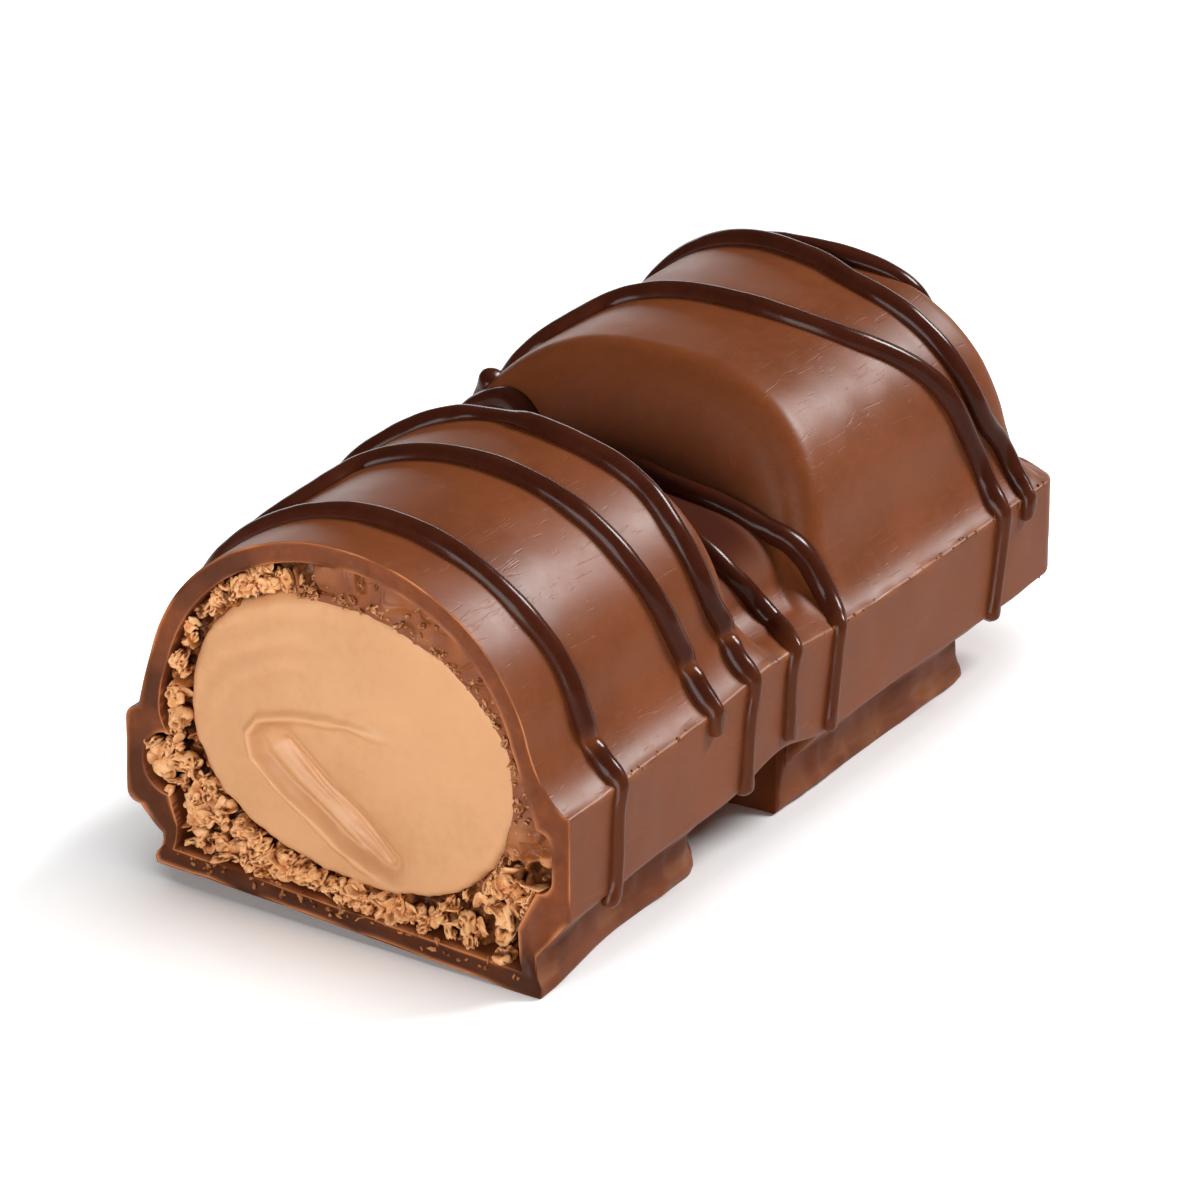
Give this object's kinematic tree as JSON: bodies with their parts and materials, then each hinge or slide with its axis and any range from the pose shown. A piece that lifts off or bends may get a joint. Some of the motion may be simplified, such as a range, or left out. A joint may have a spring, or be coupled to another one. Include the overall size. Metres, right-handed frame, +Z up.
{
  "type": "chocolate-coated wafer bar half",
  "caption": "Half of a two-humped milk chocolate wafer bar with dark drizzle, cut across to show crisp wafer and swirled nut cream.",
  "frame": {"origin": "middle of the bar's footprint, on the plane it stands on", "axes": "+X along the bar from the cut face to the uncut end, +Z up, the long side seen in the picture faces -Y"},
  "size_m": [0.0452, 0.024, 0.019],
  "materials": {
    "coating": "satin milk chocolate with glossy dark drizzle",
    "wafer": "dry, porous and flaky",
    "cream": "smooth and slightly waxy"
  },
  "bodies": {
    "root": {"coating": "coating", "wafer": "wafer", "cream": "cream"}
  },
  "joints": []
}
